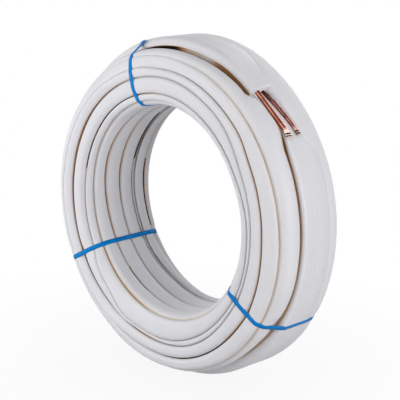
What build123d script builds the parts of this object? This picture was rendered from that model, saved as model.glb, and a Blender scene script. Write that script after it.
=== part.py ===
from build123d import *
import math
import os

os.makedirs("parts", exist_ok=True)

# Driving dimensions, in millimetres
large_tube_diameter = 9.52
small_tube_diameter = 6.35
tube_wall = 0.8
insulation_wall = 10.0

bore_radius = 173.0
inner_layers = 3
layer_height = 27.0
bore_row_inset = 12.0
back_turn_width = 17.5
front_turn_rise = 9.0
front_turn_heights = [16.0, 19.0, 23.0, 23.0]
shoulder_turn_inset = 7.5
shoulder_turn_rise = 19.0
outer_layer_inset = 40.5
outer_layer_rise = 29.0
restart_rise = 8.0
pair_squeeze_share = 0.9
sleeve_corner = 10.0
outer_corner = 4.0
corner_share = 0.45
groove_share = 0.8

large_end_length = 95.0
small_end_length = 93.0
large_tube_shift = 4.0
small_tube_shift = 9.0
end_seat_depth = 25.0
end_socket_depth = 30.0
end_clearance = 0.1
cut_overrun = 5.0
pinch_taper_length = 12.0
pinch_lip_length = 4.0
pinch_width_share = 1.47
pinch_thickness = 1.9

strap_width = 8.0
strap_thickness = 0.6
strap_clearance = 0.15

# Directions, in degrees: places are clockwise from the top, seen from the front
cut_end_angle = 37.0
restart_angle = 52.0
restart_full_angle = 68.0
large_end_splay = -3.0
small_end_splay = 3.0
strap_top_angle = 341.5
strap_left_angle = 240.0
strap_right_angle = 121.0

# Sizes of the winding that follow from these
large_sleeve = large_tube_diameter + 2 * insulation_wall
small_sleeve = small_tube_diameter + 2 * insulation_wall
groove_depth = sleeve_corner * groove_share
inner_row = [large_sleeve, large_sleeve, small_sleeve, small_sleeve]
half_width = (bore_row_inset + sum(inner_row) + back_turn_width) / 2
row_front = -half_width + bore_row_inset
row_back = row_front + sum(inner_row)
front_turn_back = row_front + large_sleeve
front_turn_bottom = bore_radius + front_turn_rise
front_turn_top = front_turn_bottom + sum(front_turn_heights)
shoulder_radius = bore_radius + inner_layers * layer_height
shoulder_turn_front = -half_width + shoulder_turn_inset
shoulder_turn_top = shoulder_radius + shoulder_turn_rise
outer_radius = shoulder_radius + outer_layer_rise
pair_row = [large_sleeve * pair_squeeze_share, small_sleeve * pair_squeeze_share]
outer_front = -half_width + outer_layer_inset
pair_back = outer_front + sum(pair_row)
outer_back = pair_back + large_sleeve
tube_radius = outer_radius - large_sleeve / 2
large_tube_across = outer_front + pair_row[0] / 2 + large_tube_shift
small_tube_across = pair_back - pair_row[1] / 2 - small_tube_shift

# The coil stands on its rim: its axis lies along Y, one outer radius above the floor
centre = (0, 0, outer_radius)
coil_axis = Axis(centre, (0, 1, 0))


def section_at(angle):
    """Give the plane of the winding's section at an angle around the coil.

    Its x runs along the coil's axis, its y outwards, and it faces clockwise.
    """
    turn = math.radians(angle)
    return Plane(origin=centre, x_dir=(0, 1, 0), z_dir=(math.cos(turn), 0, -math.sin(turn)))


def corner_of(width, height):
    """Give the corner radius of a squeezed sleeve."""
    return min(sleeve_corner, width * corner_share, height * corner_share)


def sleeve(left, right, bottom, top):
    """Draw one sleeve, a squeezed square with round corners."""
    width = right - left
    height = top - bottom
    with Locations(((left + right) / 2, (bottom + top) / 2)):
        RectangleRounded(width, height, corner_of(width, height))


def outer_sleeve(left, right):
    """Draw a sleeve of the outer layer, which lies flat on the rim."""
    with Locations(((left + right) / 2, (seat_radius + outer_radius) / 2)):
        RectangleRounded(right - left, outer_radius - seat_radius, outer_corner)


def sleeve_row(widths, start, bottom, top):
    """Draw one layer of sleeves side by side."""
    edge = start
    for width in widths:
        sleeve(edge, edge + width, bottom, top)
        edge = edge + width


def sleeve_column(heights, left, right, start):
    """Draw the turns that show on one end of the winding, one over the other."""
    edge = start
    for height in heights:
        sleeve(left, right, edge, edge + height)
        edge = edge + height


def plain_middle(left, right, bottom, top):
    """Draw the plain middle of the winding, as deep as its grooves go."""
    with Locations(((left + right) / 2, (bottom + top) / 2)):
        Rectangle(right - left, top - bottom)


def tube_mouth(across, splay):
    """Give the plane of a tube where it leaves the cut end, facing its tip."""
    cut = section_at(cut_end_angle)
    lean = math.radians(splay)
    return Plane(
        origin=cut.from_local_coords((across, tube_radius, 0)),
        x_dir=cut.x_dir * math.cos(lean) - cut.z_dir * math.sin(lean),
        z_dir=cut.z_dir * math.cos(lean) + cut.x_dir * math.sin(lean),
    )


def rim_point(radius, angle):
    """Give a point of the coil's front view, from the coil's axis."""
    turn = math.radians(angle)
    return (radius * math.sin(turn), radius * math.cos(turn))


# The last turn of the pair rises from below past the bare ends of its own tubes
gap_angle = restart_angle - cut_end_angle
seat_radius = shoulder_radius - sleeve_corner
clear_radius = outer_radius + cut_overrun
large_mouth = tube_mouth(large_tube_across, large_end_splay)
small_mouth = tube_mouth(small_tube_across, small_end_splay)

# Insulated coil: the wound sleeves as one turned solid with its bore
with BuildPart() as insulated_coil:
    with BuildSketch(section_at(0)):
        sleeve_row(inner_row, row_front, bore_radius, bore_radius + layer_height)
        sleeve_row(inner_row, row_front, shoulder_radius - layer_height, shoulder_radius)
        sleeve_column(front_turn_heights, -half_width, front_turn_back, front_turn_bottom)
        sleeve_column([layer_height] * inner_layers, row_back, half_width, bore_radius)
        plain_middle(
            row_front + groove_depth,
            half_width - groove_depth,
            bore_radius + groove_depth,
            shoulder_radius - groove_depth,
        )
        plain_middle(
            -half_width + groove_depth,
            front_turn_back,
            front_turn_bottom + groove_depth,
            front_turn_top - groove_depth,
        )
        sleeve(shoulder_turn_front, shoulder_turn_front + large_sleeve, seat_radius, shoulder_turn_top)
        outer_sleeve(pair_back, outer_back)
    revolve(axis=coil_axis)
    with BuildSketch(section_at(restart_angle)):
        outer_sleeve(outer_front, pair_back)
    revolve(axis=coil_axis, revolution_arc=360 - gap_angle)
    with BuildSketch(Plane(origin=centre, x_dir=(1, 0, 0), z_dir=(0, -1, 0)).offset(-pair_back)):
        Polygon(
            rim_point(shoulder_radius + restart_rise, restart_angle),
            rim_point(clear_radius, restart_angle),
            rim_point(clear_radius, restart_full_angle),
            rim_point(outer_radius, restart_full_angle),
            align=None,
        )
    extrude(amount=sum(pair_row), mode=Mode.SUBTRACT)
    with BuildSketch(large_mouth.offset(-end_socket_depth)):
        Circle(large_tube_diameter / 2 + end_clearance)
    extrude(amount=end_socket_depth + cut_overrun, mode=Mode.SUBTRACT)
    with BuildSketch(small_mouth.offset(-end_socket_depth)):
        Circle(small_tube_diameter / 2 + end_clearance)
    extrude(amount=end_socket_depth + cut_overrun, mode=Mode.SUBTRACT)
insulated_coil.part.label = "insulated_coil"
export_step(insulated_coil.part, "parts/insulated_coil.step")


def bare_end(mouth, diameter, length):
    """Build one bare tube end, open inside its sleeve and pinched flat at its tip."""
    root = mouth.offset(-end_seat_depth)
    taper_start = mouth.offset(length - pinch_taper_length - pinch_lip_length)
    taper_end = mouth.offset(length - pinch_lip_length)
    round_length = end_seat_depth + length - pinch_taper_length - pinch_lip_length
    pinch_width = diameter * pinch_width_share
    with BuildPart() as tube:
        with BuildSketch(root):
            Circle(diameter / 2)
        extrude(amount=round_length)
        with BuildSketch(taper_start):
            Circle(diameter / 2)
        with BuildSketch(taper_end):
            Ellipse(pinch_width / 2, pinch_thickness / 2)
        loft()
        with BuildSketch(taper_end):
            Ellipse(pinch_width / 2, pinch_thickness / 2)
        extrude(amount=pinch_lip_length)
        with BuildSketch(root):
            Circle(diameter / 2 - tube_wall)
        extrude(amount=round_length, mode=Mode.SUBTRACT)
    return tube


# Large tube end: the thicker bare copper tube, nearer the front
large_tube_end = bare_end(large_mouth, large_tube_diameter, large_end_length)
large_tube_end.part.label = "large_tube_end"
export_step(large_tube_end.part, "parts/large_tube_end.step")

# Small tube end: the thinner bare copper tube beside it
small_tube_end = bare_end(small_mouth, small_tube_diameter, small_end_length)
small_tube_end.part.label = "small_tube_end"
export_step(small_tube_end.part, "parts/small_tube_end.step")

# Straps: flat bands pulled tight around the winding, straight from corner to corner
front_corner = corner_of(front_turn_back + half_width, front_turn_heights[0])
front_top_corner = corner_of(front_turn_back + half_width, front_turn_heights[-1])
back_corner = corner_of(back_turn_width, layer_height)
strap_corners = [
    (row_front + sleeve_corner, bore_radius + sleeve_corner, sleeve_corner),
    (-half_width + front_corner, front_turn_bottom + front_corner, front_corner),
    (-half_width + front_top_corner, front_turn_top - front_top_corner, front_top_corner),
    (shoulder_turn_front + sleeve_corner, shoulder_turn_top - sleeve_corner, sleeve_corner),
    (outer_front + outer_corner, outer_radius - outer_corner, outer_corner),
    (outer_back - outer_corner, outer_radius - outer_corner, outer_corner),
    (half_width - back_corner, shoulder_radius - back_corner, back_corner),
    (half_width - back_corner, bore_radius + back_corner, back_corner),
]


def strap_outline(spacing):
    """Draw a loop pulled tight around the winding's corners, a spacing away from them."""
    for across, radius, corner in strap_corners:
        with Locations((across, radius)):
            Circle(corner + spacing)
    make_hull()


def strap_at(angle):
    """Build one strap around the winding at an angle around the coil."""
    with BuildPart() as strap:
        with BuildSketch(section_at(angle)):
            strap_outline(strap_clearance + strap_thickness)
        extrude(amount=strap_width / 2, both=True)
        with BuildSketch(section_at(angle)):
            strap_outline(strap_clearance)
        extrude(amount=strap_width / 2, both=True, mode=Mode.SUBTRACT)
    return strap


# Top strap: over the top of the rim, beside the cut end
strap_top = strap_at(strap_top_angle)
strap_top.part.label = "strap_top"
export_step(strap_top.part, "parts/strap_top.step")

# Left strap: at the lower left, seen from the front
strap_left = strap_at(strap_left_angle)
strap_left.part.label = "strap_left"
export_step(strap_left.part, "parts/strap_left.step")

# Right strap: at the lower right, seen from the front
strap_right = strap_at(strap_right_angle)
strap_right.part.label = "strap_right"
export_step(strap_right.part, "parts/strap_right.step")
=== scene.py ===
"""Looks of the insulated twin copper tube coil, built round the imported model.

Places are given the way a coil is wound: a radius from the coil's axis, a place
across the coil along that axis, and an angle clockwise from the top as seen from
the front. Sizes are in millimetres until a point is placed, and in metres after.
"""

import logging
import math
from dataclasses import dataclass, field
from enum import Enum

import bmesh
import bpy
from mathutils import Matrix, Vector
from mathutils.geometry import convex_hull_2d


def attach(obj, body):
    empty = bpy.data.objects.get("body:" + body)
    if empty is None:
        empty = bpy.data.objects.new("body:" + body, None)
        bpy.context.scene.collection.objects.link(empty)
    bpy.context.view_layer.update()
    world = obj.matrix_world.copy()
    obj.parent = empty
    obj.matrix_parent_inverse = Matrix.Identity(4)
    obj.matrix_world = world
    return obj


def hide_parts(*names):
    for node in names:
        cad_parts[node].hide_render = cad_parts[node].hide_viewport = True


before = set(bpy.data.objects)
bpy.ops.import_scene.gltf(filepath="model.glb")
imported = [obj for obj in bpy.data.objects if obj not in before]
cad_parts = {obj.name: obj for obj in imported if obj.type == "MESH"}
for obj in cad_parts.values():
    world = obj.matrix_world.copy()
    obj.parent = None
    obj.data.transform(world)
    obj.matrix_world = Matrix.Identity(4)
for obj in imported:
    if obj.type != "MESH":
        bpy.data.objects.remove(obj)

LOG = logging.getLogger("coil")
MM = 0.001
FULL_TURN = 2.0 * math.pi
BODY = "root"
SMALLEST_ANGLE = 1e-6
STRAP_ANGLES = {"strap_top": 341.5, "strap_left": 240.0, "strap_right": 121.0}
STRAP_TAILS = {"strap_top": 11.0}

Colour = tuple[float, float, float, float]
Marks = tuple[tuple[float, float], ...]
Row = tuple[float, float, float]
WHITE: Colour = (1.0, 1.0, 1.0, 1.0)


class Slot(Enum):
    """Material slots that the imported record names."""

    FOAM = "foam_sleeve"
    COPPER = "copper"
    STRAP = "strap"


@dataclass(frozen=True)
class CoilAxis:
    """The line that the coil is wound round."""

    height: float = 283.0

    def place(self, radius: float, across: float, angle: float) -> Vector:
        """Turns a place on the coil into a point.

        Args:
            radius: Millimetres from the axis.
            across: Millimetres along the axis, towards the back.
            angle: Radians clockwise from the top, seen from the front.

        Returns:
            The point in metres.
        """
        return Vector((
            radius * math.sin(angle) * MM,
            across * MM,
            (self.height + radius * math.cos(angle)) * MM,
        ))

    def angle_of(self, point: Vector) -> float:
        """Radians clockwise from the top at which a point lies."""
        return math.atan2(point.x, point.z - self.height * MM) % FULL_TURN

    def forward(self, angle: float) -> Vector:
        """The way the winding runs at an angle, clockwise."""
        return Vector((math.cos(angle), 0.0, -math.sin(angle)))

    def centre(self) -> Vector:
        """The middle of the coil."""
        return Vector((0.0, 0.0, self.height * MM))


AXIS = CoilAxis()


def eased(share: float) -> float:
    """A share from 0 to 1 that starts and ends gently."""
    return share * share * (3.0 - 2.0 * share)


class Sway:
    """A size that changes smoothly round the coil."""

    def __init__(self, *keys: tuple[float, float]) -> None:
        """Keeps the sizes at a few angles.

        Args:
            keys: Pairs of an angle in degrees and the size there, by rising angle.
        """
        self.keys = [(math.radians(angle), size) for angle, size in keys]

    def at(self, angle: float) -> float:
        """Reads the size at an angle.

        Args:
            angle: Radians clockwise from the top.

        Returns:
            The size there.
        """
        turn = angle % FULL_TURN
        first_angle, first_size = self.keys[0]
        low_angle, low_size = self.keys[-1][0] - FULL_TURN, self.keys[-1][1]
        for high_angle, high_size in self.keys + [(first_angle + FULL_TURN, first_size)]:
            if turn <= high_angle:
                break
            low_angle, low_size = high_angle, high_size
        share = (turn - low_angle) / (high_angle - low_angle)
        return low_size + (high_size - low_size) * eased(share)


class Course(Sway):
    """A size that changes smoothly along one turn, from its start to its end."""

    def at(self, angle: float) -> float:
        """Reads the size at an angle.

        Args:
            angle: Radians clockwise from the top, counted on past a full turn.

        Returns:
            The size there.
        """
        low_angle, low_size = self.keys[0]
        for high_angle, high_size in self.keys:
            if angle <= high_angle:
                break
            low_angle, low_size = high_angle, high_size
        span = max(high_angle - low_angle, SMALLEST_ANGLE)
        share = min(1.0, max(0.0, (angle - low_angle) / span))
        return low_size + (high_size - low_size) * eased(share)


@dataclass(frozen=True)
class Joint:
    """The bottom of a groove between two sleeves."""

    radius: Sway
    across: Sway
    grime_and_shade: Sway
    gap: Sway


@dataclass(frozen=True)
class Sleeve:
    """One visible sleeve of the winding, from the groove before it to the next."""

    end: Joint
    crown: Sway
    squareness: tuple[float, float] = (2.6, 2.6)
    rows: int = 14


def steady(size: float) -> Sway:
    """A size that is the same all round."""
    return Sway((0.0, size))


def groove(radius: float | Sway, across: float | Sway, grime_and_shade: float | Sway = 0.4,
           gap: float | Sway = 0.5) -> Joint:
    """A groove whose sizes may change round the coil.

    Args:
        radius: Radius of its bottom.
        across: Place of its bottom along the axis.
        grime_and_shade: How dark its bottom is, brown grime and painted shade: brown up to 1, black above.
        gap: How far apart its two sleeves stand.

    Returns:
        The groove.
    """
    sizes = (radius, across, grime_and_shade, gap)
    return Joint(*(size if isinstance(size, Sway) else steady(size) for size in sizes))


class NodeSheet:
    """Short way to lay out the nodes of a material or a world."""

    def __init__(self, owner: bpy.types.Material | bpy.types.World, output: str) -> None:
        """Starts with nothing but the output.

        Args:
            owner: The material or the world.
            output: Type name of its output node.
        """
        owner.use_nodes = True
        self.owner = owner
        self.tree = owner.node_tree
        self.tree.nodes.clear()
        self.output = self.add(output)

    def add(self, kind: str, **settings: object) -> bpy.types.Node:
        """Adds a node and sets its properties.

        Args:
            kind: Type name of the node.
            settings: Properties of the node.

        Returns:
            The node.
        """
        node = self.tree.nodes.new(kind)
        for name, value in settings.items():
            setattr(node, name, value)
        return node

    def feed(self, source: object, target: bpy.types.NodeSocket) -> None:
        """Links a socket to a socket, or sets a plain value on it."""
        if isinstance(source, bpy.types.NodeSocket):
            self.tree.links.new(source, target)
        else:
            target.default_value = source

    def sum(self, operation: str, *terms: object) -> bpy.types.NodeSocket:
        """A piece of arithmetic on numbers.

        Args:
            operation: Name of the operation.
            terms: Sockets or numbers.

        Returns:
            The result.
        """
        node = self.add("ShaderNodeMath", operation=operation)
        for index, term in enumerate(terms):
            self.feed(term, node.inputs[index])
        return node.outputs["Value"]

    def ramp(self, value: bpy.types.NodeSocket, *stops: tuple[float, Colour]) -> bpy.types.NodeSocket:
        """Colours that follow a number.

        Args:
            value: The number.
            stops: Pairs of a number from 0 to 1 and the colour there.

        Returns:
            The colour.
        """
        node = self.add("ShaderNodeValToRGB")
        elements = node.color_ramp.elements
        while len(elements) < len(stops):
            elements.new(1.0)
        for element, (position, colour) in zip(elements, stops):
            element.position = position
            element.color = colour
        self.feed(value, node.inputs["Fac"])
        return node.outputs["Color"]

    def mask(self, value: bpy.types.NodeSocket, *stops: tuple[float, float]) -> bpy.types.NodeSocket:
        """A share that follows a number.

        Args:
            value: The number.
            stops: Pairs of a number from 0 to 1 and the share there.

        Returns:
            The share, as a grey.
        """
        return self.ramp(value, *((position, (share, share, share, 1.0)) for position, share in stops))

    def noise(self, scale: float, detail: float) -> bpy.types.NodeSocket:
        """Cloudy noise on the piece's own coordinates.

        Args:
            scale: Clouds per metre.
            detail: Octaves.

        Returns:
            A number from 0 to 1.
        """
        place = self.add("ShaderNodeTexCoord")
        clouds = self.add("ShaderNodeTexNoise")
        clouds.inputs["Scale"].default_value = scale
        clouds.inputs["Detail"].default_value = detail
        self.feed(place.outputs["Object"], clouds.inputs["Vector"])
        return clouds.outputs["Fac"]

    def attribute(self, name: str) -> bpy.types.NodeSocket:
        """A number that the mesh carries."""
        return self.add("ShaderNodeAttribute", attribute_name=name).outputs["Fac"]

    def mix(self, kind: str, share: object, first: object, second: object) -> bpy.types.NodeSocket:
        """Blends two colours.

        Args:
            kind: Blend type.
            share: How much of the second.
            first: First colour.
            second: Second colour.

        Returns:
            The blended colour.
        """
        node = self.add("ShaderNodeMix", data_type="RGBA", blend_type=kind)
        self.feed(share, node.inputs[0])
        self.feed(first, node.inputs[6])
        self.feed(second, node.inputs[7])
        return node.outputs[2]

    def bump(self, height: bpy.types.NodeSocket, strength: float, depth: float) -> bpy.types.NodeSocket:
        """Fine relief from a height.

        Args:
            height: The height, from 0 to 1.
            strength: Share of the relief that shows.
            depth: Depth in metres that a height of 1 stands for.

        Returns:
            The normal.
        """
        node = self.add("ShaderNodeBump")
        node.inputs["Strength"].default_value = strength
        node.inputs["Distance"].default_value = depth
        self.feed(height, node.inputs["Height"])
        return node.outputs["Normal"]

    def seen(self) -> bpy.types.NodeSocket:
        """1 where it is seen straight, mirrored or through something clear, else 0."""
        path = self.add("ShaderNodeLightPath")
        straight = self.sum("MAXIMUM", path.outputs["Is Camera Ray"], path.outputs["Is Glossy Ray"])
        return self.sum("MAXIMUM", straight, path.outputs["Is Transmission Ray"])

    def blend(self, share: bpy.types.NodeSocket, first: bpy.types.Node, second: bpy.types.Node) -> None:
        """Finishes with a blend of two shaders.

        Args:
            share: How much of the second.
            first: First shader.
            second: Second shader.
        """
        mix = self.add("ShaderNodeMixShader")
        for source, target in zip((share, first.outputs[0], second.outputs[0]), mix.inputs):
            self.feed(source, target)
        self.feed(mix.outputs[0], self.output.inputs["Surface"])

    def surface(self, **sockets: object) -> bpy.types.Material:
        """Finishes the material with a principled surface.

        Args:
            sockets: Values or sockets by input name, with _ for a space.

        Returns:
            The material.
        """
        shader = self.add("ShaderNodeBsdfPrincipled")
        for name, source in sockets.items():
            self.feed(source, shader.inputs[name.replace("_", " ")])
        self.feed(shader.outputs["BSDF"], self.output.inputs["Surface"])
        return self.owner


def material_sheet(name: str) -> NodeSheet:
    """An empty sheet for a new material."""
    return NodeSheet(bpy.data.materials.new(name), "ShaderNodeOutputMaterial")


@dataclass(frozen=True)
class FoamFinish:
    """Pale extruded foam, brown with grime and painted shade down in the grooves, black where painted shade
    fills the narrowest.
    """

    pale: Colour = (0.685, 0.68, 0.70, 1.0)
    cool: Colour = (0.62, 0.62, 0.655, 1.0)
    cloud_scale: float = 9.0
    patch_scale: float = 6.0
    patch_share: float = 0.10
    # Foam colours from the crowns down into the grooves: brown grime with painted shade, black where painted
    # shade fills the narrowest grooves.
    shades: tuple[tuple[float, Colour], ...] = (
        (0.0, WHITE),
        (0.18, WHITE),
        (0.36, (0.86, 0.79, 0.70, 1.0)),
        (0.54, (0.68, 0.41, 0.20, 1.0)),
        (0.75, (0.42, 0.20, 0.075, 1.0)),
        (0.92, (0.08, 0.04, 0.02, 1.0)),
        (1.0, (0.015, 0.01, 0.008, 1.0)),
    )
    rib_spacing: float = 8.6
    rib_share: float = 1.1
    rib_strength: float = 0.35
    rib_depth: float = 0.0002
    wander_scale: float = 14.0
    wander: float = 1.6
    grain_scale: float = 420.0
    roughness: float = 0.56
    gloss: float = 0.3

    def make(self) -> bpy.types.Material:
        """Builds the foam material.

        Returns:
            The material.
        """
        sheet = material_sheet("pale_foam")
        body = sheet.mix("MIX", sheet.noise(self.cloud_scale, detail=3.0), self.pale, self.cool)
        # Darkness painted along the grooves, brown grime and painted shade; it also takes the gloss away.
        deep = sheet.attribute("groove_grime_and_shade")
        patches = sheet.noise(self.patch_scale, detail=2.0)
        patchy = sheet.sum("MULTIPLY_ADD", patches, self.patch_share, deep)
        level = sheet.sum("SUBTRACT", patchy, 0.5 * self.patch_share)
        colour = sheet.mix("MULTIPLY", 1.0, body, sheet.ramp(level, *self.shades))
        wander = sheet.sum("MULTIPLY", sheet.noise(self.wander_scale, detail=2.0), self.wander)
        turns = sheet.sum("MULTIPLY", sheet.attribute("lane"), FULL_TURN / self.rib_spacing)
        rib = sheet.sum("SINE", sheet.sum("ADD", turns, wander))
        grain = sheet.noise(self.grain_scale, detail=2.0)
        height = sheet.sum("MULTIPLY_ADD", rib, self.rib_share, grain)
        return sheet.surface(
            Base_Color=colour,
            Roughness=self.roughness,
            Specular_IOR_Level=sheet.sum("MULTIPLY_ADD", deep, -self.gloss, self.gloss),
            Normal=sheet.bump(height, self.rib_strength, self.rib_depth),
        )


@dataclass(frozen=True)
class CopperFinish:
    """Drawn copper with stains, a painted dark reflection streaked along it, painted shade at its root, a
    painted highlight on the pinched tip and painted shadow in its crimp lines.

    Marks are pairs of a share round or along the tube and how much of the mark shows there.
    """

    name: str
    bright: Colour = (0.78, 0.34, 0.23, 1.0)
    dull: Colour = (0.42, 0.13, 0.08, 1.0)
    # Painted dark reflection streaked along the tube, and painted shade at its root.
    painted_dark: Colour = (0.035, 0.009, 0.006, 1.0)
    # Painted highlight on the pinched tip.
    painted_highlight: Colour = (0.97, 0.78, 0.66, 1.0)
    # Painted shadow in the crimp lines.
    crimp_shadow: Colour = (0.004, 0.002, 0.002, 1.0)
    stain_scale: float = 60.0
    dull_below: float = 0.34
    bright_above: float = 0.62
    drift_scale: float = 34.0
    drift: float = 0.08
    reflection_streak_marks: Marks = (
        (0.0, 0.0), (0.25, 0.0), (0.27, 0.8), (0.30, 0.8), (0.32, 0.1), (0.39, 0.1),
        (0.41, 1.0), (0.49, 1.0), (0.52, 0.0))
    root_shade: float = 0.0
    root_end: float = 0.08
    root_fade: float = 0.42
    highlight_marks: Marks = ((0.0, 0.0), (0.82, 0.0), (0.88, 1.0), (1.0, 1.0))
    crimp_shadow_marks: Marks = (
        (0.0, 0.0), (0.916, 0.0), (0.920, 1.0), (0.944, 1.0), (0.948, 0.0), (0.958, 0.0),
        (0.962, 1.0), (0.986, 1.0), (0.990, 0.2))
    least_roughness: float = 0.14
    stain_roughness: float = 0.25
    grain_scale: float = 260.0
    grain_strength: float = 0.2
    grain_depth: float = 0.0003

    def make(self) -> bpy.types.Material:
        """Builds the copper material.

        Returns:
            The material.
        """
        sheet = material_sheet(self.name)
        along = sheet.attribute("along")
        stains = sheet.noise(self.stain_scale, detail=4.0)
        body = sheet.ramp(stains, (self.dull_below, self.dull), (self.bright_above, self.bright))
        sway = sheet.noise(self.drift_scale, detail=2.0)
        around = sheet.sum("MULTIPLY_ADD", sway, self.drift, sheet.attribute("around"))
        level = sheet.sum("SUBTRACT", around, 0.5 * self.drift)
        # Painted dark reflection streaks along the tube.
        body = sheet.mix("MIX", sheet.mask(level, *self.reflection_streak_marks), body, self.painted_dark)
        # Painted shade near the sleeve.
        root = sheet.mask(
            along, (0.0, self.root_shade), (self.root_end, self.root_shade), (self.root_fade, 0.0))
        body = sheet.mix("MIX", root, body, self.painted_dark)
        # Painted highlight on the pinched tip.
        body = sheet.mix("MIX", sheet.mask(along, *self.highlight_marks), body, self.painted_highlight)
        # Painted shadow in the two crimp lines at the tip.
        colour = sheet.mix("MIX", sheet.mask(along, *self.crimp_shadow_marks), body, self.crimp_shadow)
        grain = sheet.noise(self.grain_scale, detail=3.0)
        return sheet.surface(
            Base_Color=colour,
            Metallic=1.0,
            Roughness=sheet.sum("MULTIPLY_ADD", stains, self.stain_roughness, self.least_roughness),
            Normal=sheet.bump(grain, self.grain_strength, self.grain_depth),
        )


@dataclass(frozen=True)
class StrapFinish:
    """Blue packing strap with a pressed lattice on its face."""

    face: Colour = (0.0003, 0.15, 0.50, 1.0)
    worn: Colour = (0.0005, 0.24, 0.60, 1.0)
    wear_scale: float = 55.0
    lattice: float = 1.7
    lattice_strength: float = 0.45
    lattice_depth: float = 0.00025
    roughness: float = 0.42
    gloss: float = 0.06

    def make(self) -> bpy.types.Material:
        """Builds the strap material.

        Returns:
            The material.
        """
        sheet = material_sheet("blue_strap")
        along = sheet.attribute("lane")
        side = sheet.attribute("side")
        waves = []
        for slant in ("ADD", "SUBTRACT"):
            run = sheet.sum("MULTIPLY", sheet.sum(slant, along, side), FULL_TURN / self.lattice)
            waves.append(sheet.sum("SINE", run))
        lattice = sheet.sum("MULTIPLY", *waves)
        colour = sheet.mix("MIX", sheet.noise(self.wear_scale, detail=3.0), self.face, self.worn)
        return sheet.surface(
            Base_Color=colour,
            Roughness=self.roughness,
            Specular_IOR_Level=self.gloss,
            Normal=sheet.bump(lattice, self.lattice_strength, self.lattice_depth),
        )


def new_piece(name: str, mesh_builder: bmesh.types.BMesh, material: bpy.types.Material) -> bpy.types.Object:
    """Turns a finished bmesh into a smooth object of the scene.

    Args:
        name: Name of the piece.
        mesh_builder: The bmesh, which is freed.
        material: The piece's material.

    Returns:
        The object, at the origin.
    """
    bmesh.ops.recalc_face_normals(mesh_builder, faces=mesh_builder.faces[:])
    for face in mesh_builder.faces:
        face.smooth = True
    mesh = bpy.data.meshes.new(name)
    mesh_builder.to_mesh(mesh)
    mesh_builder.free()
    mesh.materials.append(material)
    piece = bpy.data.objects.new(name, mesh)
    bpy.context.scene.collection.objects.link(piece)
    LOG.info("%s: %d faces", name, len(mesh.polygons))
    return piece


def stand_in(piece: bpy.types.Object, node: str) -> None:
    """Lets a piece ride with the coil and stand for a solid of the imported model.

    Args:
        piece: The piece.
        node: Name of the solid.
    """
    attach(piece, BODY)
    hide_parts(node)


def bore_sleeves() -> list[Sleeve]:
    """The sleeves in the bore, from the back to the front.

    Returns:
        The sleeves, in order.
    """
    bottom = 181.5
    crown = steady(8.5)
    # Groove darkness above 1 paints a black line of shade down the narrowest grooves; below 1 it is brown
    # grime with painted shade.
    return [
        Sleeve(
            groove(179.5,
                   Sway((0, 55), (209, 61), (245, 56), (280, 53)),
                   Sway((0, 0.6), (180, 0.5), (244, 0.5), (245, 1.32), (284, 1.32), (285, 0.5))),
            Sway((0, 13.5), (209, 10.0), (245, 13.0), (280, 14.5)),
            squareness=(3.2, 6.0), rows=20),
        Sleeve(
            groove(bottom,
                   Sway((0, 31), (200, 43), (235, 33), (277, 27), (320, 31)),
                   Sway((0, 0.6), (180, 0.5), (240, 0.75), (285, 0.8), (286, 2.6), (321, 2.6), (322, 0.6))),
            crown),
        Sleeve(
            groove(bottom,
                   Sway((0, 0), (199, 7), (240, 5), (285, -2)),
                   Sway((0, 0.6), (250, 0.66), (282, 0.98), (325, 0.98))),
            crown),
        Sleeve(
            groove(bottom,
                   Sway((0, -28), (190, -24), (240, -27), (290, -35), (330, -28)),
                   Sway((0, 0.5), (204, 0.55), (205, 1.5), (222, 1.5), (223, 0.55), (285, 0.85),
                        (320, 0.8))),
            crown),
        Sleeve(
            groove(Sway((0, 184), (30, 182), (90, 186), (180, 182), (250, 187), (300, 187), (340, 184)),
                   Sway((0, -57), (90, -60), (180, -57), (250, -52), (300, -53), (340, -57)),
                   Sway((0, 0.4), (180, 0.4), (206, 0.62), (232, 0.62), (250, 0.45))),
            crown),
    ]


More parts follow.
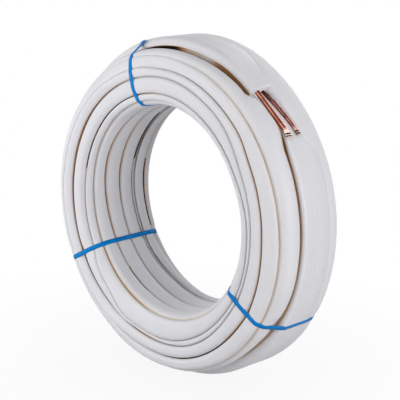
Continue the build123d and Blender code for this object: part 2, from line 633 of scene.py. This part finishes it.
def face_sleeves() -> list[Sleeve]:
    """The sleeves on the front face, from the bore outwards.

    Returns:
        The sleeves, in order.
    """
    # Groove darkness above 1 paints a black line of shade down the narrowest grooves; below 1 it is brown
    # grime with painted shade.
    return [
        Sleeve(
            groove(Sway((0, 195), (60, 191), (90, 197), (120, 202), (185, 219), (200, 220), (222, 207),
                        (243, 199), (300, 197)),
                   Sway((0, -60), (90, -61), (195, -61.5), (207, -66), (230, -66), (244, -61), (300, -60)),
                   Sway((0, 0.45), (60, 0.4), (190, 0.35), (206, 0.05), (230, 0.05), (245, 0.4), (281, 0.4),
                        (282, 1.25), (338, 1.25), (339, 0.8))),
            Sway((0, 5.5), (90, 8.0), (185, 8.4), (207, 5.6), (230, 4.4), (244, 5.6), (300, 5.0))),
        Sleeve(
            groove(Sway((0, 222), (34, 218), (64, 206), (100, 206), (121, 209), (170, 225), (230, 228),
                        (300, 224)),
                   Sway((0, -61), (190, -61), (240, -62.5), (290, -63), (335, -61)),
                   Sway((0, 0.3), (40, 0.34), (120, 0.45), (201, 0.6), (202, 1.3), (236, 1.3), (237, 0.8),
                        (262, 0.72), (310, 0.7), (345, 0.4)),
                   Sway((0, 0.5), (160, 0.5), (200, 2.6), (238, 4.2), (262, 5.6), (290, 5.6), (325, 2.4),
                        (345, 0.8))),
            Sway((0, 7.5), (100, 5.0), (175, 5.5), (190, 3.6), (207, 4.8), (230, 6.0), (250, 9.0),
                 (340, 8.0))),
        Sleeve(
            groove(Sway((0, 235), (46, 234), (61, 228), (88, 228), (126, 236), (175, 246), (250, 250),
                        (345, 238)),
                   Sway((0, -60), (40, -60), (90, -61), (182, -61), (196, -64.5), (212, -69.0),
                        (315, -67.8), (345, -62)),
                   Sway((0, 0.4), (60, 0.85), (139, 0.85), (140, 1.15), (176, 1.25), (177, 0.5), (212, 0.0),
                        (320, 0.0)),
                   Sway((0, 0.4), (100, 1.0), (160, 1.4), (200, 0.2), (320, 0.2))),
            Sway((0, 6.0), (90, 8.5), (182, 9.0), (196, 6.8), (212, 3.8), (315, 3.8), (345, 5.2))),
        Sleeve(
            groove(Sway((0, 255), (12, 253.5), (25, 255), (36, 256), (60, 258), (113, 262), (200, 266),
                        (270, 266), (335, 257)),
                   Sway((0, -56.5), (14, -56.5), (36, -59), (60, -60.5), (120, -60), (200, -59), (290, -58),
                        (335, -57)),
                   Sway((0, 0.1), (14, 0.36), (60, 0.42), (120, 0.42), (200, 0.2), (260, 0.0), (330, 0.05)),
                   0.4),
            Sway((0, 3.0), (36, 6.0), (90, 7.5), (182, 9.0), (196, 6.8), (212, 3.8), (265, 3.6),
                 (335, 3.0))),
    ]


def rim_sleeves() -> list[Sleeve]:
    """The sleeves on the outside, from the front to the back.

    Returns:
        The sleeves, in order: the shoulder, two under the last turn, and the broad
        one behind it.
    """
    seat = 247.0
    return [
        # The shoulder's groove darkens sharply near 54 degrees, painted shade by the large tube's tip, over
        # brown grime.
        Sleeve(
            groove(Sway((0, 254), (18, 255), (36.5, 258), (40, 265), (45, 268.5), (51, 273), (54, 273.5),
                        (60, 270), (105, 270), (138, 258), (300, 254)),
                   Sway((0, -31.5), (36, -30.5), (40, -21.5), (52, -21.5), (60, -27.5), (110, -27.5),
                        (150, -31)),
                   Sway((0, 0.5), (15, 0.4), (24, 0.64), (36, 0.64), (40, 0.2), (49, 0.25), (54, 0.9),
                        (60, 0.8), (70, 0.62), (125, 0.5), (200, 0.35), (340, 0.6)),
                   Sway((0, 1.8), (60, 0.8), (180, 1.4))),
            Sway((0, 11), (12, 11.2), (24, 12.3), (31, 12.2), (37, 11.2), (44, 12.8), (52, 14), (60, 15.5),
                 (100, 14), (122, 9.5), (138, 9), (200, 7), (300, 8)),
            squareness=(2.3, 2.2), rows=18),
        Sleeve(groove(seat, -5.0), steady(6.5), rows=8),
        Sleeve(
            groove(seat, Sway((20, 20.6), (35, 3.4), (44, 4.2), (50, 6.5), (56, 10), (66, 20.6))),
            steady(9.0), rows=8),
        Sleeve(groove(seat, 49.6), steady(35.6), squareness=(5.0, 9.0), rows=30),
    ]


def back_sleeves() -> list[Sleeve]:
    """The sleeves on the back face, from the rim inwards.

    Returns:
        The sleeves, in order.
    """
    bottom = 61.5
    return [
        Sleeve(groove(227.0, bottom), steady(17.0), squareness=(3.2, 2.6)),
        Sleeve(groove(200.0, bottom), steady(9.4)),
    ]


def all_sleeves() -> list[Sleeve]:
    """The visible sleeves of the winding, in order round its section."""
    return bore_sleeves() + face_sleeves() + rim_sleeves() + back_sleeves()


@dataclass
class FoamWinding:
    """The wound foam sleeves: everything but the last turn."""

    sleeves: list[Sleeve] = field(default_factory=all_sleeves)
    steps: int = 288
    grime_and_shade_fall: float = 1.1
    black_rise: float = 4.0
    black_edge: float = 3.0
    gather: float = 0.5
    press_share: float = 0.15
    press_depth: float = 1.3
    press_flat: float = 7.0
    press_end: float = 19.0
    press_radius: float = 225.0

    def press(self, angle: float) -> float:
        """How far the straps press the sleeves in at an angle, in millimetres."""
        depth = 0.0
        for strap in STRAP_ANGLES.values():
            apart = (angle - math.radians(strap) + math.pi) % FULL_TURN - math.pi
            away = abs(apart) * self.press_radius
            share = min(1.0, max(0.0, (self.press_end - away) / (self.press_end - self.press_flat)))
            depth += self.press_depth * eased(share)
        return depth

    def grime_and_shade_over(self, grime_and_shade: float, rise: float) -> float:
        """How dark a sleeve is painted above the groove beside it, with brown grime and painted shade.

        Args:
            grime_and_shade: How dark the groove is, brown grime and painted shade: brown up to 1, black with
                a sharp edge above.
            rise: Share of the sleeve's height, from 0 in the groove to 1 on its crown.

        Returns:
            The darkness, from 0.
        """
        soft = grime_and_shade * (1.0 - rise) ** self.grime_and_shade_fall
        sharp = min(1.0, max(0.0, (grime_and_shade - 1.0) * self.black_rise))
        edge = max(0.0, self.black_edge * soft - (self.black_edge - 1.0))
        return soft + (edge - soft) * sharp

    def outline(self, angle: float) -> list[Row]:
        """The section of the winding at an angle.

        Args:
            angle: Radians clockwise from the top.

        Returns:
            Radius, place across and darkness, for each row.
        """
        rows: list[Row] = []
        before = self.sleeves[-1].end
        press = self.press(angle)
        for sleeve in self.sleeves:
            start = Vector((before.radius.at(angle), before.across.at(angle)))
            end = Vector((sleeve.end.radius.at(angle), sleeve.end.across.at(angle)))
            chord = end - start
            outward = Vector((chord.y, -chord.x)).normalized()
            crown = sleeve.crown.at(angle)
            crown -= min(press, self.press_share * crown)
            span = chord.length
            left = 0.5 * before.gap.at(angle) / span
            right = 0.5 * sleeve.end.gap.at(angle) / span
            # Darkness of the two grooves at this section: brown grime and painted shade.
            stains = (before.grime_and_shade.at(angle), sleeve.end.grime_and_shade.at(angle))
            rows.append((start.x, start.y, stains[0]))
            for row in range(sleeve.rows + 1):
                share = row / sleeve.rows
                half = int(row * 2 > sleeve.rows)
                swing = math.pi * share - 0.5 * self.gather * math.sin(FULL_TURN * share)
                power = 2.0 / sleeve.squareness[half]
                lean = math.cos(swing)
                along = 0.5 - 0.5 * math.copysign(abs(lean) ** power, lean)
                rise = max(0.0, math.sin(swing)) ** power
                point = start + chord * (left + along * (1.0 - left - right)) + outward * (crown * rise)
                rows.append((point.x, point.y, self.grime_and_shade_over(stains[half], rise)))
            before = sleeve.end
        return rows

    def add_to(self, builder: bmesh.types.BMesh) -> None:
        """Spins the section into the wound body and settles every row.

        Args:
            builder: The foam's bmesh.
        """
        first = self.outline(0.0)
        row_layer = builder.verts.layers.int["row"]
        groove_grime_and_shade = builder.verts.layers.float["groove_grime_and_shade"]
        lane = builder.verts.layers.float["lane"]
        loop = bmesh.ops.create_circle(builder, cap_ends=False, segments=len(first), radius=1.0)["verts"]
        length = 0.0
        last = first[-1]
        for index, (vert, row) in enumerate(zip(loop, first)):
            length += math.hypot(row[0] - last[0], row[1] - last[1])
            last = row
            vert.co = AXIS.place(row[0], row[1], 0.0)
            vert[row_layer] = index + 1
            vert[lane] = length
        spin_round(builder, loop, FULL_TURN, self.steps)
        sections: dict[int, list[Row]] = {}
        for vert in builder.verts:
            if not vert[row_layer]:
                continue
            step = round(AXIS.angle_of(vert.co) / FULL_TURN * self.steps) % self.steps
            angle = step * FULL_TURN / self.steps
            if step not in sections:
                sections[step] = self.outline(angle)
            radius, across, darkness = sections[step][vert[row_layer] - 1]
            vert.co = AXIS.place(radius, across, angle)
            # The row's darkness, brown grime and painted shade, goes into the mesh for the foam's colour.
            vert[groove_grime_and_shade] = darkness


def spin_round(builder: bmesh.types.BMesh, loop: list[bmesh.types.BMVert], sweep: float, steps: int
               ) -> list[bmesh.types.BMEdge]:
    """Sweeps a closed section round the coil's axis.

    Args:
        builder: The bmesh.
        loop: The section's points, in order.
        sweep: How far it turns, in radians.
        steps: Sections that it makes.

    Returns:
        The edges of the last section.
    """
    edges = list({edge for vert in loop for edge in vert.link_edges})
    turned = bmesh.ops.spin(
        builder, geom=loop + edges, cent=AXIS.centre(), axis=(0.0, 1.0, 0.0), dvec=(0.0, 0.0, 0.0),
        angle=sweep, steps=steps, use_merge=sweep == FULL_TURN, use_normal_flip=False, use_duplicate=False,
    )
    return [item for item in turned["geom_last"] if isinstance(item, bmesh.types.BMEdge)]


@dataclass
class LastTurn:
    """The twin sleeve of the last turn, cut where the bare tubes come out."""

    start_angle: float = 35.0
    end_angle: float = 397.0
    bottom: float = 252.0
    back: float = 31.0
    top: Course = field(default_factory=lambda: Course(
        (35, 267.0), (38, 267.5), (62, 283), (380, 283), (397, 277.5)))
    back_top: Course = field(default_factory=lambda: Course(
        (35, 267.0), (38, 267.5), (62, 282.6), (376, 282.6), (397, 281.2)))
    front: Course = field(default_factory=lambda: Course(
        (37, -19.5), (50, -20), (62, -26.5), (110, -26.5), (150, -29)))
    corner: Course = field(default_factory=lambda: Course(
        (37, 2), (52, 2.5), (64, 6), (110, 6), (140, 13), (375, 13), (397, 8)))
    # The front wall darkens into the groove, brown grime and painted shade; near 56 degrees it is painted
    # shade by the large tube's tip.
    grime_and_shade: Course = field(default_factory=lambda: Course(
        (37, 0.2), (50, 0.25), (56, 0.7), (70, 0.62), (125, 0.52), (180, 0.4), (335, 0.6), (343, 0.85),
        (349, 1.0), (358, 1.0), (366, 0.45), (375, 0.38), (383, 0.74)))
    grime_and_shade_depth: float = 2.0
    fall_start: float = 9.0
    fall_shares: tuple[float, ...] = (0.0, 0.2, 0.4, 0.6, 0.8)
    hidden_corner: float = 1.2
    corner_share: float = 0.6
    corner_rows: int = 12
    hidden_skip: int = 3
    wall_depths: tuple[float, ...] = (1.0, 2.2, 4.0, 7.0)
    steps: int = 280
    end_round: float = 2.2
    end_rows: int = 3

    def outline(self, angle: float) -> list[Row]:
        """The twin sleeve's section at an angle.

        Args:
            angle: Radians clockwise from the top, counted on past a full turn.

        Returns:
            Radius, place across and darkness, for each row.
        """
        if angle < math.radians(self.start_angle):
            angle += FULL_TURN
        top, front, wide = self.top.at(angle), self.front.at(angle), self.corner.at(angle)
        back_top = self.back_top.at(angle)
        grime_and_shade = self.grime_and_shade.at(angle)
        tall = min(wide, self.corner_share * (top - self.bottom))
        small = self.hidden_corner
        rows: list[Row] = []
        swings = [0.5 * math.pi * row / (self.corner_rows - 1) for row in range(self.corner_rows)]
        hidden = [(small * math.sin(swing), small * math.cos(swing)) for swing in swings[::self.hidden_skip]]
        for sine, cosine in hidden:
            rows.append((back_top - small + sine, self.back - small + cosine, 0.0))
        for share in self.fall_shares:
            across = self.fall_start + (front + wide - self.fall_start) * share
            rows.append((back_top + (top - back_top) * eased(share), across, 0.0))
        for swing in swings:
            rows.append((top - tall + tall * math.cos(swing), front + wide - wide * math.sin(swing), 0.0))
        reach = top - tall - self.bottom - small
        # The front wall is painted darker as it drops, with brown grime and painted shade.
        for depth in self.wall_depths:
            drop = min(depth, reach * depth / self.wall_depths[-1])
            rows.append((top - tall - drop, front, grime_and_shade * min(1.0, depth / self.grime_and_shade_depth)))
        for sine, cosine in hidden:
            rows.append((self.bottom + small - sine, front + small - cosine, grime_and_shade))
        for sine, cosine in hidden:
            rows.append((self.bottom + small - cosine, self.back - small + sine, 0.0))
        return rows

    def add_to(self, builder: bmesh.types.BMesh) -> None:
        """Adds the twin sleeve to the foam.

        Args:
            builder: The foam's bmesh.
        """
        groove_grime_and_shade = builder.verts.layers.float["groove_grime_and_shade"]
        lane = builder.verts.layers.float["lane"]
        turn_row = builder.verts.layers.int.new("turn_row")
        start = math.radians(self.start_angle)
        sweep = math.radians(self.end_angle) - start
        section = self.outline(math.pi)
        loop = bmesh.ops.create_circle(builder, cap_ends=False, segments=len(section), radius=1.0)["verts"]
        for index, (vert, row) in enumerate(zip(loop, section)):
            vert.co = AXIS.place(row[0], row[1], start)
            vert[lane] = row[1]
            vert[turn_row] = index
        first = list({edge for vert in loop for edge in vert.link_edges})
        last = spin_round(builder, loop, sweep, self.steps)
        builder.verts.index_update()
        for vert in builder.verts:
            turned = start + sweep * (vert.index // len(section)) / self.steps
            radius, across, darkness = self.outline(turned)[vert[turn_row]]
            vert.co = AXIS.place(radius, across, turned)
            # The row's darkness, brown grime and painted shade, goes into the mesh for the foam's colour.
            vert[groove_grime_and_shade] = darkness
        bmesh.ops.holes_fill(builder, edges=first + last, sides=0)
        bmesh.ops.bevel(
            builder, geom=last, offset=self.end_round * MM, offset_type="OFFSET", affect="EDGES",
            segments=self.end_rows, profile=0.5, material=-1,
        )


@dataclass
class FoamCoil:
    """All the foam of the coil: the winding and its last turn."""

    winding: FoamWinding
    last_turn: LastTurn

    def build(self, material: bpy.types.Material) -> bpy.types.Object:
        """Builds the foam as one piece.

        Args:
            material: The foam's material.

        Returns:
            The piece.
        """
        builder = bmesh.new()
        builder.verts.layers.int.new("row")
        builder.verts.layers.float.new("groove_grime_and_shade")
        builder.verts.layers.float.new("lane")
        self.last_turn.add_to(builder)
        self.winding.add_to(builder)
        piece = new_piece("insulated_coil_foam", builder, material)
        stand_in(piece, "insulated_coil")
        return piece

    def section(self, angle: float) -> list[tuple[float, float]]:
        """All points of the foam's section at an angle.

        Args:
            angle: Radians clockwise from the top.

        Returns:
            Radius and place across of each point.
        """
        rows = self.winding.outline(angle) + self.last_turn.outline(angle)
        return [(row[0], row[1]) for row in rows]


@dataclass
class BareTube:
    """A bare copper end with its tip pinched shut."""

    name: str
    diameter: float
    length: float
    across: float
    splay: float
    bow: float = 0.0
    mouth_radius: float = 268.24
    mouth_angle: float = 37.0
    seat: float = 24.0
    taper: float = 12.0
    lip: float = 4.0
    lip_width_share: float = 1.47
    lip_thickness: float = 1.9
    tip_round: float = 0.4
    tip_thinning: float = 0.3
    sides: int = 32
    rings: int = 14
    taper_rings: int = 10

    def stations(self) -> list[tuple[float, float]]:
        """The rings of the tube, from inside its sleeve to its tip.

        Returns:
            Millimetres along from the mouth and how far it is pinched, for each ring.
        """
        round_length = self.length - self.taper - self.lip
        stations = [(-self.seat, 0.0)]
        stations += [(round_length * ring / self.rings, 0.0) for ring in range(self.rings + 1)]
        for ring in range(1, self.taper_rings + 1):
            share = ring / self.taper_rings
            stations.append((self.length - self.lip - self.taper * (1.0 - share), eased(share)))
        return stations + [(self.length - self.tip_round, 1.0), (self.length, 1.0)]

    def build(self, material: bpy.types.Material) -> bpy.types.Object:
        """Sweeps the tube from inside the sleeve to its pinched tip.

        Args:
            material: The copper.

        Returns:
            The piece.
        """
        angle = math.radians(self.mouth_angle)
        lean = math.radians(self.splay)
        forward = AXIS.forward(angle) * math.cos(lean) + Vector((0.0, math.sin(lean), 0.0))
        outward = Vector((math.sin(angle), 0.0, math.cos(angle)))
        side = outward.cross(forward)
        mouth = AXIS.place(self.mouth_radius, self.across, angle)
        radius = self.diameter / 2.0
        builder = bmesh.new()
        around = builder.verts.layers.float.new("around")
        share_along = builder.verts.layers.float.new("along")
        loop = bmesh.ops.create_circle(builder, cap_ends=False, segments=self.sides, radius=1.0)["verts"]
        shape = [vert.co.copy() for vert in loop]
        edges = builder.edges[:]
        start_edges = edges
        ring = loop
        for index, (along, pinch) in enumerate(self.stations()):
            if index:
                grown = bmesh.ops.extrude_edge_only(builder, edges=edges)["geom"]
                new = [item for item in grown if isinstance(item, bmesh.types.BMVert)]
                edges = [item for item in grown if isinstance(item, bmesh.types.BMEdge)
                         and all(vert in new for vert in item.verts)]
                ring = new
            gone = max(0.0, along / self.length)
            lift = 4.0 * self.bow * gone * (1.0 - gone)
            wide = radius * (1.0 + (self.lip_width_share - 1.0) * pinch)
            thin = radius + (self.lip_thickness / 2.0 - radius) * pinch
            if along == self.length:
                thin *= 1.0 - self.tip_thinning
            for vert, unit in zip(ring, shape):
                offset = side * (unit.x * wide * MM) + outward * (unit.y * thin * MM)
                vert.co = mouth + forward * (along * MM) + outward * (lift * MM) + offset
                vert[around] = 0.5 + math.atan2(unit.x, unit.y) / FULL_TURN
                vert[share_along] = gone
        bmesh.ops.holes_fill(builder, edges=start_edges + edges, sides=0)
        piece = new_piece(f"{self.name}_copper", builder, material)
        stand_in(piece, self.name)
        return piece


@dataclass
class Strap:
    """A packing strap pulled tight round the winding's section."""

    name: str
    angle: float
    width: float = 8.0
    tail: float = 0.0
    tail_turn: float = 66.0
    tail_root: tuple[float, float] = (280.5, -27.0)
    tail_slope: float = 60.0
    tail_lift: float = 1.2
    tail_rows: int = 8
    thickness: float = 0.7
    clearance: float = 0.25

    def build(self, points: list[tuple[float, float]], material: bpy.types.Material) -> bpy.types.Object:
        """Lays the strap round the hull of the section.

        Args:
            points: Radius and place across of the section where the strap lies.
            material: The strap's material.

        Returns:
            The piece.
        """
        angle = math.radians(self.angle)
        hull = [Vector(points[index]) for index in convex_hull_2d([Vector(point) for point in points])]
        builder = bmesh.new()
        lane = builder.verts.layers.float.new("lane")
        side = builder.verts.layers.float.new("side")
        loop = bmesh.ops.create_circle(builder, cap_ends=False, segments=len(hull), radius=1.0)["verts"]
        middle = sum(hull, Vector((0.0, 0.0))) / len(hull)
        length = 0.0
        half = AXIS.forward(angle) * (self.width * MM / 2.0)
        for index, vert in enumerate(loop):
            point = hull[index]
            length += (point - hull[index - 1]).length if index else 0.0
            run = hull[(index + 1) % len(hull)] - hull[index - 1]
            outward = Vector((run.y, -run.x)).normalized()
            if outward.dot(point - middle) < 0.0:
                outward = -outward
            point = point + outward * self.clearance
            vert.co = AXIS.place(point.x, point.y, angle) - half
            vert[lane] = length
            vert[side] = 0.0
        grown = bmesh.ops.extrude_edge_only(builder, edges=builder.edges[:])["geom"]
        far = [item for item in grown if isinstance(item, bmesh.types.BMVert)]
        bmesh.ops.translate(builder, verts=far, vec=half * 2.0)
        for vert in far:
            vert[side] = self.width
        bmesh.ops.recalc_face_normals(builder, faces=builder.faces[:])
        if self.tail:
            self.add_tail(builder)
        bmesh.ops.solidify(builder, geom=builder.faces[:], thickness=self.thickness * MM)
        piece = new_piece(f"{self.name}_band", builder, material)
        stand_in(piece, self.name)
        return piece

    def add_tail(self, builder: bmesh.types.BMesh) -> None:
        """Lays the strap's free end aslant over the strap, under the rim's corner.

        Args:
            builder: The strap's bmesh.
        """
        angle = math.radians(self.angle)
        slope = math.radians(self.tail_slope)
        turn = math.radians(self.tail_turn)
        outward = Vector((math.sin(angle), 0.0, math.cos(angle)))
        away = outward * math.sin(slope) - Vector((0.0, math.cos(slope), 0.0))
        down = -outward * math.cos(slope) - Vector((0.0, math.sin(slope), 0.0))
        run = AXIS.forward(angle) * math.sin(turn) + down * math.cos(turn)
        side = away.cross(run)
        root = AXIS.place(*self.tail_root, angle) + away * (2.0 * self.thickness * MM)
        grid = bmesh.ops.create_grid(builder, x_segments=self.tail_rows, y_segments=2, size=0.5)["verts"]
        for vert in grid:
            gone = vert.co.x + 0.5
            lift = self.tail_lift * gone * gone
            aside = vert.co.y * self.width
            vert.co = root + (run * (gone * self.tail) + side * aside + away * lift) * MM
        faces = list({face for vert in grid for face in vert.link_faces})
        bmesh.ops.recalc_face_normals(builder, faces=faces)


@dataclass(frozen=True)
class Lamp:
    """A soft square lamp that faces the coil, in metres and watts."""

    name: str
    place: tuple[float, float, float]
    size: float
    power: float

    def hang(self) -> None:
        """Puts the lamp into the scene."""
        data = bpy.data.lights.new(self.name, "AREA")
        data.energy = self.power
        data.size = self.size
        lamp = bpy.data.objects.new(self.name, data)
        spot = Vector(self.place)
        facing = (AXIS.centre() - spot).to_track_quat("-Z", "Y").to_matrix().to_4x4()
        lamp.matrix_world = Matrix.Translation(spot) @ facing
        bpy.context.scene.collection.objects.link(lamp)


@dataclass
class Studio:
    """Floor, soft light and the camera."""

    azimuth: float = 46.35
    elevation: float = 14.81
    roll: float = 0.91
    distance: float = 2.179
    lens: float = 117.5
    aim_right: float = 0.0183
    aim_up: float = 0.0096
    sensor: float = 36.0
    clip: tuple[float, float] = (0.1, 50.0)
    lamps: tuple[Lamp, ...] = (
        Lamp("key", (0.1, -2.8, 0.9), 1.6, 11.0),
        Lamp("right", (2.6, -0.65, 0.85), 1.6, 50.0),
        Lamp("left", (-1.5, -1.4, 0.65), 1.2, 30.0),
        Lamp("top", (0.3, 0.3, 2.9), 1.4, 13.0),
        Lamp("rear", (-0.8, 2.5, 1.6), 1.6, 30.0),
    )
    sky: Colour = (0.98, 0.98, 1.0, 1.0)
    sky_strength: float = 0.17
    floor_size: float = 12.0
    floor_paint: Colour = (0.60, 0.60, 0.60, 1.0)
    shadow_reach: tuple[float, float] = (0.10, 0.60)
    least_glow: float = 0.90

    def camera(self) -> None:
        """Sets the camera at the photograph's viewing angle."""
        turn = math.radians(self.azimuth)
        rise = math.radians(self.elevation)
        back = Vector((
            math.sin(turn) * math.cos(rise), -math.cos(turn) * math.cos(rise), math.sin(rise)))
        right = Vector((math.cos(turn), math.sin(turn), 0.0))
        up = back.cross(right)
        data = bpy.data.cameras.new("camera")
        data.lens = self.lens
        data.sensor_width = self.sensor
        data.clip_start, data.clip_end = self.clip
        camera = bpy.data.objects.new("camera", data)
        eye = AXIS.centre() + back * self.distance
        target = AXIS.centre() + right * self.aim_right + up * self.aim_up
        facing = (target - eye).to_track_quat("-Z", "Y").to_matrix().to_4x4()
        tilt = Matrix.Rotation(math.radians(self.roll), 4, "Z")
        camera.matrix_world = Matrix.Translation(eye) @ facing @ tilt
        bpy.context.scene.collection.objects.link(camera)
        bpy.context.scene.camera = camera

    def world(self) -> None:
        """Gives an even grey light and a white background."""
        world = bpy.data.worlds.new("studio")
        bpy.context.scene.world = world
        sheet = NodeSheet(world, "ShaderNodeOutputWorld")
        fill = sheet.add("ShaderNodeBackground")
        fill.inputs["Color"].default_value = self.sky
        fill.inputs["Strength"].default_value = self.sky_strength
        white = sheet.add("ShaderNodeBackground")
        white.inputs["Color"].default_value = WHITE
        sheet.blend(sheet.seen(), fill, white)

    def floor(self) -> None:
        """Lays a plain pale floor that turns white away from the coil."""
        sheet = material_sheet("pale_floor")
        place = sheet.add("ShaderNodeTexCoord")
        reach = sheet.add("ShaderNodeVectorMath", operation="LENGTH")
        sheet.feed(place.outputs["Object"], reach.inputs[0])
        fade = sheet.add("ShaderNodeMapRange")
        fade.inputs["From Min"].default_value, fade.inputs["From Max"].default_value = self.shadow_reach
        fade.inputs["To Min"].default_value = self.least_glow
        sheet.feed(reach.outputs["Value"], fade.inputs["Value"])
        paint = sheet.add("ShaderNodeBsdfDiffuse")
        paint.inputs["Color"].default_value = self.floor_paint
        glow = sheet.add("ShaderNodeEmission")
        sheet.blend(sheet.sum("MULTIPLY", sheet.seen(), fade.outputs["Result"]), paint, glow)
        builder = bmesh.new()
        bmesh.ops.create_grid(builder, x_segments=2, y_segments=2, size=self.floor_size)
        floor = new_piece("floor", builder, sheet.owner)

    def build(self) -> None:
        """Sets up the whole studio."""
        bpy.context.scene.view_settings.view_transform = "Standard"
        self.floor()
        self.world()
        for lamp in self.lamps:
            lamp.hang()
        self.camera()


def main() -> None:
    """Builds every piece in order."""
    logging.basicConfig(level=logging.INFO, format="%(name)s %(message)s")
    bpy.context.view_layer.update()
    Studio().build()
    foam = FoamFinish().make()
    copper = CopperFinish("drawn_copper").make()
    # The small tube gets a darker, shaded copy of the copper: painted shade, darkest at its root.
    shaded_copper = CopperFinish(
        "shaded_copper", bright=(0.60, 0.25, 0.19, 1.0), dull=(0.24, 0.07, 0.06, 1.0),
        painted_dark=(0.02, 0.006, 0.006, 1.0), painted_highlight=(0.66, 0.40, 0.33, 1.0), root_shade=0.85).make()
    blue = StrapFinish().make()
    coil = FoamCoil(FoamWinding(), LastTurn())
    coil.build(foam)
    BareTube("large_tube_end", diameter=9.52, length=95.0, across=-12.85, splay=-3.0).build(copper)
    BareTube(
        "small_tube_end", diameter=6.35, length=93.0, across=-0.7, splay=3.0, bow=2.4).build(shaded_copper)
    for name, angle in STRAP_ANGLES.items():
        strap = Strap(name, angle, tail=STRAP_TAILS.get(name, 0.0))
        strap.build(coil.section(math.radians(angle)), blue)


if __name__ == "__main__":
    main()
